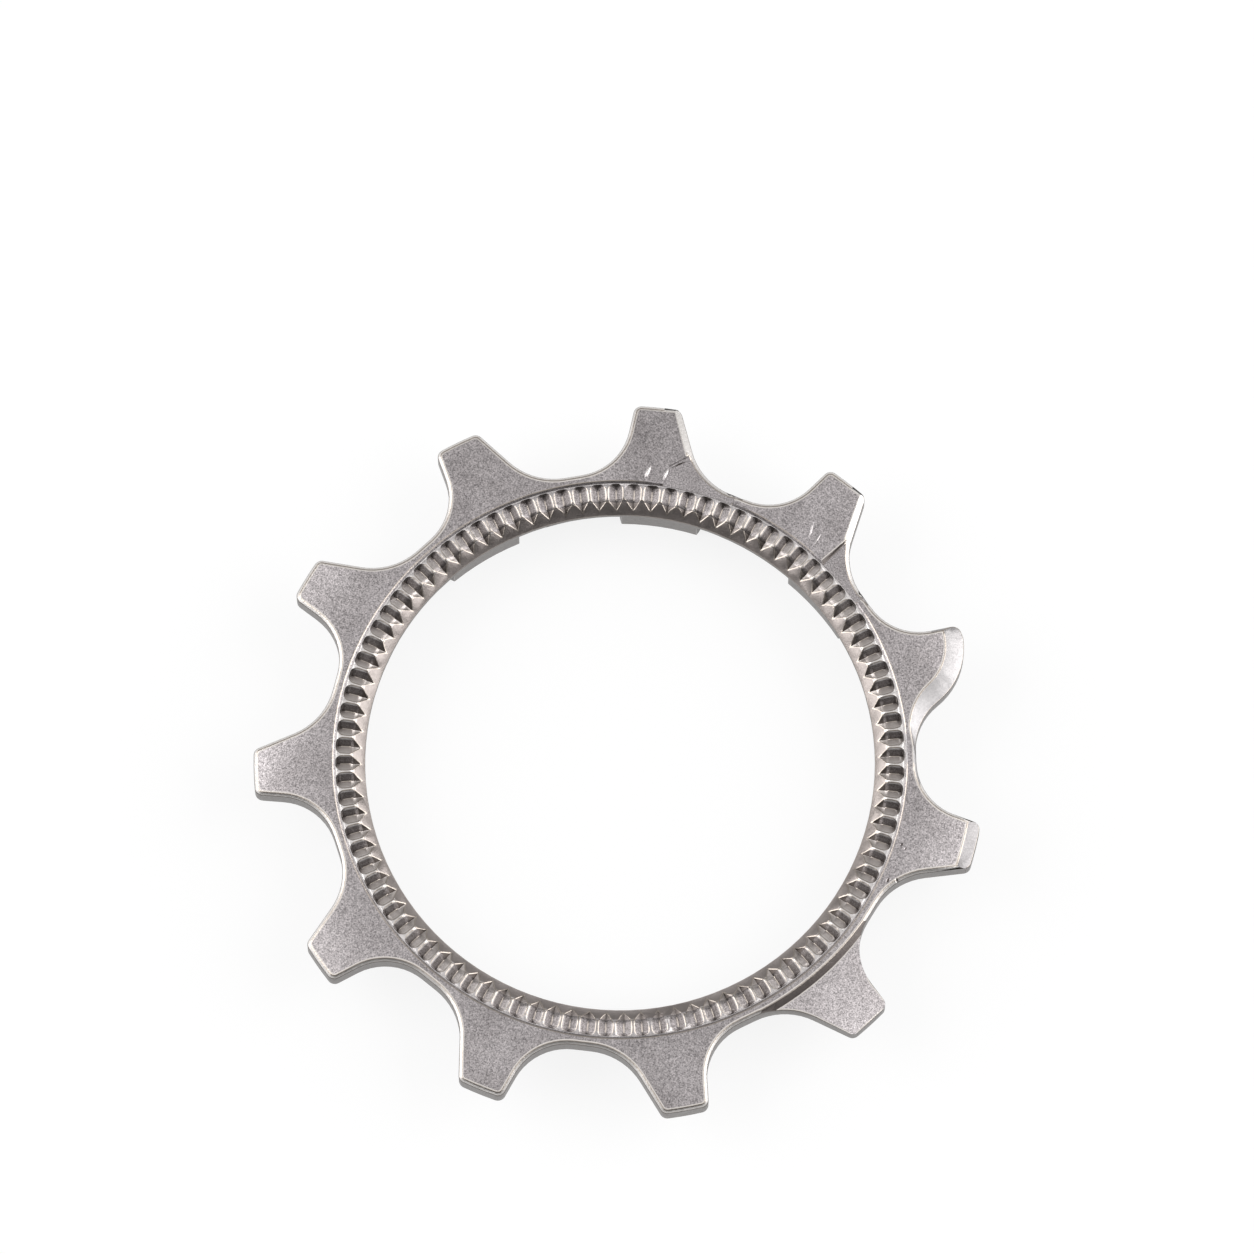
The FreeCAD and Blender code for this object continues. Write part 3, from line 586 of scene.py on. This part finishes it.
deep = add_node(tree, "ShaderNodeMath", {"operation": "MULTIPLY"}, {
    0: faces_front.outputs["Result"], 1: depth.outputs["Result"]})
# Painted shade on the flanks that face the front, darkest deep down.
painted_groove_shade = add_node(tree, "ShaderNodeMath", {"operation": "MULTIPLY"}, {
    0: on_flank.outputs["Value"], 1: deep.outputs["Value"]})
# Painted light on the flanks that face the back of the picture.
turned_back = add_node(tree, "ShaderNodeMapRange", {}, {
    "Value": flank_facing.outputs["Y"], "From Min": 0.2, "From Max": 0.55, "To Min": 0.0, "To Max": 0.9})
painted_flank_light = add_node(tree, "ShaderNodeMath", {"operation": "MULTIPLY"}, {
    0: on_flank.outputs["Value"], 1: turned_back.outputs["Result"]})
high = add_node(tree, "ShaderNodeMapRange", {}, {
    "Value": spot.outputs["Z"], "From Min": CREST_LEVEL - 0.12, "From Max": CREST_LEVEL - 0.07})
nearly_level = add_node(tree, "ShaderNodeMapRange", {}, {
    "Value": levelness.outputs["Value"], "From Min": 0.7, "From Max": 0.85})
high_and_level = add_node(tree, "ShaderNodeMath", {"operation": "MULTIPLY"}, {
    0: high.outputs["Result"], 1: nearly_level.outputs["Result"]})
on_crest = add_node(tree, "ShaderNodeMath", {"operation": "MULTIPLY"}, {
    0: high_and_level.outputs["Value"], 1: in_ring.outputs["Result"]})
# Painted highlight on the crests, stronger at the left and right sides.
crest_highlight_share = add_node(tree, "ShaderNodeMapRange", {}, {
    "Value": aside_squared.outputs["Value"], "To Min": 0.3, "To Max": 0.95})
painted_crest_highlight = add_node(tree, "ShaderNodeMath", {"operation": "MULTIPLY"}, {
    0: on_crest.outputs["Value"], 1: crest_highlight_share.outputs["Result"]})
on_cone = add_node(tree, "ShaderNodeMapRange", {}, {
    "Value": radius.outputs["Value"], "From Min": CREST_IN + 0.04, "From Max": CREST_IN - 0.06})
# The cone's own tone, with painted light that makes it a shade lighter at the left and right sides.
cone_tone_and_side_light = add_node(tree, "ShaderNodeMix", {"data_type": "RGBA"}, {
    "Factor": aside_squared.outputs["Value"], 6: linear("#9C9491"), 7: linear("#9E9692")})

# The bare metal of the tooth faces, with painted light towards the tips at both sides, and lighter on the low
# fifth tooth.
LOW_FACE_BELOW = 4.45
patchy = add_node(tree, "ShaderNodeMix", {"data_type": "RGBA"}, {
    "Factor": cloud.outputs["Fac"], 6: linear("#989292"), 7: linear("#CAC4C5")})
speckle = add_node(tree, "ShaderNodeMapRange", {}, {
    "Value": grain.outputs["Fac"], "From Min": 0.25, "From Max": 0.75, "To Min": 0.45, "To Max": 1.57})
towards_tip = add_node(tree, "ShaderNodeMapRange", {}, {
    "Value": radius.outputs["Value"], "From Min": 19.0, "From Max": 22.6, "To Min": 0.1, "To Max": 0.5})
painted_side_light = add_node(tree, "ShaderNodeMath", {"operation": "MULTIPLY_ADD"}, {
    0: aside_squared.outputs["Value"], 1: towards_tip.outputs["Result"], 2: 0.9})
low_lighter = add_node(tree, "ShaderNodeMapRange", {}, {
    "Value": spot.outputs["Z"], "From Min": LOW_FACE_BELOW, "From Max": LOW_FACE_BELOW - 0.05,
    "To Min": 1.0, "To Max": 1.3})
tint = add_node(tree, "ShaderNodeMath", {"operation": "MULTIPLY"}, {
    0: painted_side_light.outputs["Value"], 1: low_lighter.outputs["Result"]})
toned = add_node(tree, "ShaderNodeMath", {"operation": "MULTIPLY"}, {
    0: speckle.outputs["Result"], 1: tint.outputs["Value"]})
bare = add_node(tree, "ShaderNodeMix", {"data_type": "RGBA", "blend_type": "MULTIPLY"}, {
    "Factor": 1.0, 6: patchy.outputs[2], 7: toned.outputs["Value"]})

# The broad bevels are smoother than the faces, and the fourth tooth's carries painted shade, so it is darker
# than the third's.
smoothed = add_node(tree, "ShaderNodeMath", {"operation": "MULTIPLY"}, {0: worn["swept"], 1: 0.85})
to_fourth = add_node(tree, "ShaderNodeMapRange", {}, {
    "Value": spot.outputs["Y"], "From Min": 0.0, "From Max": -3.0})
bevel_tone_and_shade = add_node(tree, "ShaderNodeMix", {"data_type": "RGBA"}, {
    "Factor": to_fourth.outputs["Result"], 6: linear("#A5A3A3"), 7: linear("#8B8989")})

# The outermost line of each tooth's edge, where it rolls over towards the wall, is darkened as painted shade.
edge_line = add_node(tree, "ShaderNodeMapRange", {}, {
    "Value": worn["outermost"], "From Min": 0.3, "From Max": 0.45})
broken_line = add_node(tree, "ShaderNodeMath", {"operation": "MULTIPLY"}, {
    0: edge_line.outputs["Result"], 1: worn["broken"]})
turned_down = add_node(tree, "ShaderNodeMapRange", {}, {
    "Value": levelness.outputs["Value"], "From Min": 0.74, "From Max": 0.6, "To Max": 0.6})
rubbed_line = add_node(tree, "ShaderNodeMath", {"operation": "MULTIPLY"}, {
    0: turned_down.outputs["Result"], 1: worn["rubbed"]})
dark_line = add_node(tree, "ShaderNodeMath", {"operation": "MAXIMUM"}, {
    0: broken_line.outputs["Value"], 1: rubbed_line.outputs["Value"]})
on_teeth = add_node(tree, "ShaderNodeMapRange", {}, {
    "Value": radius.outputs["Value"], "From Min": TEETH_FROM, "From Max": TEETH_FROM + 0.1})
painted_dark_edge = add_node(tree, "ShaderNodeMath", {"operation": "MULTIPLY"}, {
    0: dark_line.outputs["Value"], 1: on_teeth.outputs["Result"]})

# Heights in millimetres: the grain, the pitting, a slight fall of the tooth faces towards their tips,
# and the rounded ends of the ridges.
RIDGE_MIDDLE = 17.35
fine = add_node(tree, "ShaderNodeMath", {"operation": "MULTIPLY"}, {0: grain.outputs["Fac"], 1: 0.006})
coarse = add_node(tree, "ShaderNodeMath", {"operation": "MULTIPLY_ADD"}, {
    0: pitting.outputs["Fac"], 1: 0.014, 2: fine.outputs["Value"]})
up_tooth = add_node(tree, "ShaderNodeMapRange", {}, {
    "Value": radius.outputs["Value"], "From Min": 18.6, "From Max": 23.6, "To Min": 0.0, "To Max": 5.0})
up_squared = add_node(tree, "ShaderNodeMath", {"operation": "POWER"}, {
    0: up_tooth.outputs["Result"], 1: 2.0})
fallen = add_node(tree, "ShaderNodeMath", {"operation": "MULTIPLY_ADD"}, {
    0: up_squared.outputs["Value"], 1: -0.018, 2: coarse.outputs["Value"]})
from_middle = add_node(tree, "ShaderNodeMath", {"operation": "SUBTRACT"}, {
    0: radius.outputs["Value"], 1: RIDGE_MIDDLE})
along_ridge = add_node(tree, "ShaderNodeMath", {"operation": "ABSOLUTE"}, {0: from_middle.outputs["Value"]})
ridge_end = add_node(tree, "ShaderNodeMapRange", {}, {
    "Value": along_ridge.outputs["Value"], "From Min": 0.22, "From Max": 0.54, "To Min": 0.0, "To Max": 0.32})
ridge_fall = add_node(tree, "ShaderNodeMath", {"operation": "POWER"}, {
    0: ridge_end.outputs["Result"], 1: 2.0})
relief = add_node(tree, "ShaderNodeMath", {"operation": "MULTIPLY_ADD"}, {
    0: ridge_fall.outputs["Value"], 1: -0.7, 2: fallen.outputs["Value"]})

# Nicks and burrs on the tooth faces: place, turn in degrees, length, width and height in millimetres.
# Each fades out at half its length and half its width, and half a millimetre above and below the face.
NICKS = [
    (1.76, 18.7, 69, 1.2, 0.3, 0.07),
    (2.9, 18.55, 69, 1.1, 0.22, 0.06),
    (3.78, 19.23, 22, 1.5, 0.16, -0.05),
    (12.1, 14.9, 75, 1.5, 0.16, 0.03),
    (12.5, 14.3, 60, 1.2, 0.14, 0.03),
    (13.77, 13.65, 45, 2.9, 0.16, -0.06),
    (17.73, -5.59, 20, 0.32, 0.2, -0.06),
    (17.98, -5.85, 40, 0.26, 0.18, -0.05),
    (16.85, -7.9, 60, 0.6, 0.3, -0.05),
    (17.4, -7.9, 110, 0.4, 0.26, -0.05),
    (-21.3, 0.95, 20, 0.5, 0.24, -0.022),
]
marked = relief
for x, y, turn, length, width, rise in NICKS:
    apart = add_node(tree, "ShaderNodeVectorMath", {"operation": "SUBTRACT"}, {
        0: in_mm.outputs["Vector"], 1: (x, y, FRONT_FACE)})
    turned = add_node(tree, "ShaderNodeVectorRotate", {"rotation_type": "Z_AXIS"}, {
        "Vector": apart.outputs["Vector"], "Angle": -math.radians(turn)})
    scaled = add_node(tree, "ShaderNodeVectorMath", {"operation": "MULTIPLY"}, {
        0: turned.outputs["Vector"], 1: (2 / length, 2 / width, 2.0)})
    reach = add_node(tree, "ShaderNodeVectorMath", {"operation": "LENGTH"}, {0: scaled.outputs["Vector"]})
    swell = add_node(tree, "ShaderNodeMapRange", {"interpolation_type": "SMOOTHSTEP"}, {
        "Value": reach.outputs["Value"], "From Min": 0.0, "From Max": 1.0, "To Min": rise, "To Max": 0.0})
    marked = add_node(tree, "ShaderNodeMath", {"operation": "ADD"}, {
        0: swell.outputs["Result"], 1: marked.outputs["Value"]})
risen = add_node(tree, "ShaderNodeMath", {"operation": "SUBTRACT"}, {
    0: marked.outputs["Value"], 1: relief.outputs["Value"]})
burr = add_node(tree, "ShaderNodeMapRange", {}, {
    "Value": risen.outputs["Value"], "From Min": 0.01, "From Max": 0.04})
dent = add_node(tree, "ShaderNodeMapRange", {}, {
    "Value": risen.outputs["Value"], "From Min": -0.01, "From Max": -0.04})

# Each tone with the share of it that shows, laid over the bare metal from the first to the last.
tones = [
    (on_cone.outputs["Result"], cone_tone_and_side_light.outputs[2]),
    # Painted shade in dark brown on the groove flanks that face the front.
    (painted_groove_shade.outputs["Value"], linear("#463F3B")),
    # Painted light on the groove flanks that face the back.
    (painted_flank_light.outputs["Value"], linear("#DAD2CD")),
    # Painted highlight on the crests.
    (painted_crest_highlight.outputs["Value"], linear("#E8E4E2")),
    # The narrow broken edges are painted light, partly as burnish and partly as a painted highlight.
    (worn["broken"], linear("#D8D4D1")),
    # The broad bevels' smoother tone, with painted shade on the fourth tooth's.
    (smoothed.outputs["Value"], bevel_tone_and_shade.outputs[2]),
    # Painted shade on the fifth tooth's sloped wall and on the second tooth's worn step.
    (worn["shaded"], linear("#7A7370")),
    (worn["rubbed"], linear("#BDB3AA")),
    # The polished rim, painted lighter, partly as polish and partly as a painted highlight.
    (worn["rim"], linear("#E6E0DB")),
    # The darker wall tone on steep surfaces, partly duller sheared metal and partly painted shade.
    (upright.outputs["Result"], linear("#7E7A78")),
    # Painted shade along the outermost line of the tooth edges.
    (painted_dark_edge.outputs["Value"], linear("#37322F")),
    (burr.outputs["Result"], linear("#D8D3D1")),
    (dent.outputs["Result"], linear("#5F5855")),
]
colour = bare.outputs[2]
for share, tone in tones:
    laid = add_node(tree, "ShaderNodeMix", {"data_type": "RGBA"}, {"Factor": share, 6: colour, 7: tone})
    colour = laid.outputs[2]

# The metal is satin, duller on the flanks of the grooves, and brighter where the chips rubbed its edges.
satin = add_node(tree, "ShaderNodeMapRange", {}, {
    "Value": pitting.outputs["Fac"], "From Min": 0.3, "From Max": 0.7, "To Min": 0.34, "To Max": 0.46})
duller_flanks = add_node(tree, "ShaderNodeMix", {"data_type": "FLOAT"}, {
    "Factor": on_flank.outputs["Value"], 2: satin.outputs["Result"], 3: 0.5})
brighter_edges = add_node(tree, "ShaderNodeMix", {"data_type": "FLOAT"}, {
    "Factor": worn["rubbed"], 2: duller_flanks.outputs[0], 3: 0.28})
bump_share = add_node(tree, "ShaderNodeMapRange", {}, {"Value": worn["swept"], "To Min": 1.0, "To Max": 0.35})
bumped = add_node(tree, "ShaderNodeBump", {}, {
    "Height": marked.outputs["Value"], "Strength": bump_share.outputs["Result"], "Distance": MILLIMETRE})
metal = add_node(tree, "ShaderNodeBsdfPrincipled", {}, {
    "Base Color": colour, "Metallic": 1.0, "Roughness": brighter_edges.outputs[0],
    "Normal": bumped.outputs["Normal"]})
tree.links.new(metal.outputs["BSDF"], output.inputs["Surface"])
mesh.materials.append(steel)
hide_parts("cassette_cog")
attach(cog, "root")

# Studio floor: a large sheet of white board that the cog lies on.
# It is lit by the same soft light and keeps a faint shadow under the teeth.
# Matt white board: an even white, most of which the camera sees as the plain background.
FLOOR_WIDTH = 6.0
PLAIN_SHARE = 0.85
board, tree, output = new_material("white_board_matt")
matt = add_node(tree, "ShaderNodeBsdfDiffuse", {}, {"Color": linear("#FAFAFA")})
glow = add_node(tree, "ShaderNodeEmission", {}, {"Color": linear("#FFFFFF"), "Strength": 1.0})
light_path = add_node(tree, "ShaderNodeLightPath", {}, {})
seen = add_node(tree, "ShaderNodeMath", {"operation": "MAXIMUM"}, {
    0: light_path.outputs["Is Camera Ray"], 1: light_path.outputs["Is Glossy Ray"]})
seen_through = add_node(tree, "ShaderNodeMath", {"operation": "MAXIMUM"}, {
    0: seen.outputs["Value"], 1: light_path.outputs["Is Transmission Ray"]})
plain_part = add_node(tree, "ShaderNodeMath", {"operation": "MULTIPLY"}, {
    0: seen_through.outputs["Value"], 1: PLAIN_SHARE})
mixed = add_node(tree, "ShaderNodeMixShader", {}, {
    0: plain_part.outputs["Value"], 1: matt.outputs["BSDF"], 2: glow.outputs["Emission"]})
tree.links.new(mixed.outputs["Shader"], output.inputs["Surface"])
bpy.ops.mesh.primitive_plane_add(size=FLOOR_WIDTH)
floor = bpy.context.object
floor.name = "floor"
floor.data.materials.append(board)

# Studio light: a soft dome, brightest overhead, half as bright at the back and dim low in front,
# and two large lamps at the sides. Their places and width are in metres, and their power in watts.
world = bpy.data.worlds.new("soft_dome")
bpy.context.scene.world = world
world.use_nodes = True
tree = world.node_tree
tree.nodes.clear()
output = add_node(tree, "ShaderNodeOutputWorld", {}, {})
place = add_node(tree, "ShaderNodeTexCoord", {}, {})
direction = add_node(tree, "ShaderNodeSeparateXYZ", {}, {0: place.outputs["Generated"]})
front_level = add_node(tree, "ShaderNodeMapRange", {"interpolation_type": "SMOOTHSTEP"}, {
    "Value": direction.outputs["Y"], "From Min": -0.85, "From Max": 0.0, "To Min": 0.16, "To Max": 1.0})
back_level = add_node(tree, "ShaderNodeMapRange", {"interpolation_type": "SMOOTHSTEP"}, {
    "Value": direction.outputs["Y"], "From Min": 0.15, "From Max": 0.75, "To Min": 1.0, "To Max": 0.5})
strength = add_node(tree, "ShaderNodeMath", {"operation": "MULTIPLY"}, {
    0: front_level.outputs["Result"], 1: back_level.outputs["Result"]})
dome = add_node(tree, "ShaderNodeBackground", {}, {"Strength": strength.outputs["Value"]})
tree.links.new(dome.outputs["Background"], output.inputs["Surface"])

LAMP_WIDTH = 0.9
LAMP_POWER = 5.9
LAMPS = [("left_lamp", (-0.75, 0.05, 0.42)), ("right_lamp", (0.75, 0.05, 0.42))]
for name, stand in LAMPS:
    lamp = bpy.data.lights.new(name, "AREA")
    lamp.size = LAMP_WIDTH
    lamp.energy = LAMP_POWER
    holder = bpy.data.objects.new(name, lamp)
    holder.location = stand
    holder.rotation_euler = (-Vector(stand)).to_track_quat("-Z", "Y").to_euler()
    bpy.context.scene.collection.objects.link(holder)

# Camera: a long lens that looks down on the cog from a little in front of it.
# The width of the frame and the aim are millimetres in the plane of the tooth faces.
CAMERA_DISTANCE = 0.9
CAMERA_ELEVATION = math.radians(75.5)
FRAME_WIDTH = 78.99
AIM_UP = 8.265
AIM_RIGHT = 0.441
SENSOR_WIDTH = 36.0
NEAREST = 0.01
towards = Vector((0.0, -math.cos(CAMERA_ELEVATION), math.sin(CAMERA_ELEVATION)))
up = Vector((0.0, math.sin(CAMERA_ELEVATION), math.cos(CAMERA_ELEVATION)))
aim = (Vector((AIM_RIGHT, 0.0, FRONT_FACE)) + AIM_UP * up) * MILLIMETRE
lens = bpy.data.cameras.new("camera")
lens.sensor_width = SENSOR_WIDTH
lens.lens = SENSOR_WIDTH * CAMERA_DISTANCE / (FRAME_WIDTH * MILLIMETRE)
lens.clip_start = NEAREST
camera = bpy.data.objects.new("camera", lens)
camera.location = aim + CAMERA_DISTANCE * towards
camera.rotation_euler = (-towards).to_track_quat("-Z", "Y").to_euler()
bpy.context.scene.collection.objects.link(camera)
bpy.context.scene.camera = camera
bpy.context.scene.view_settings.view_transform = "Standard"
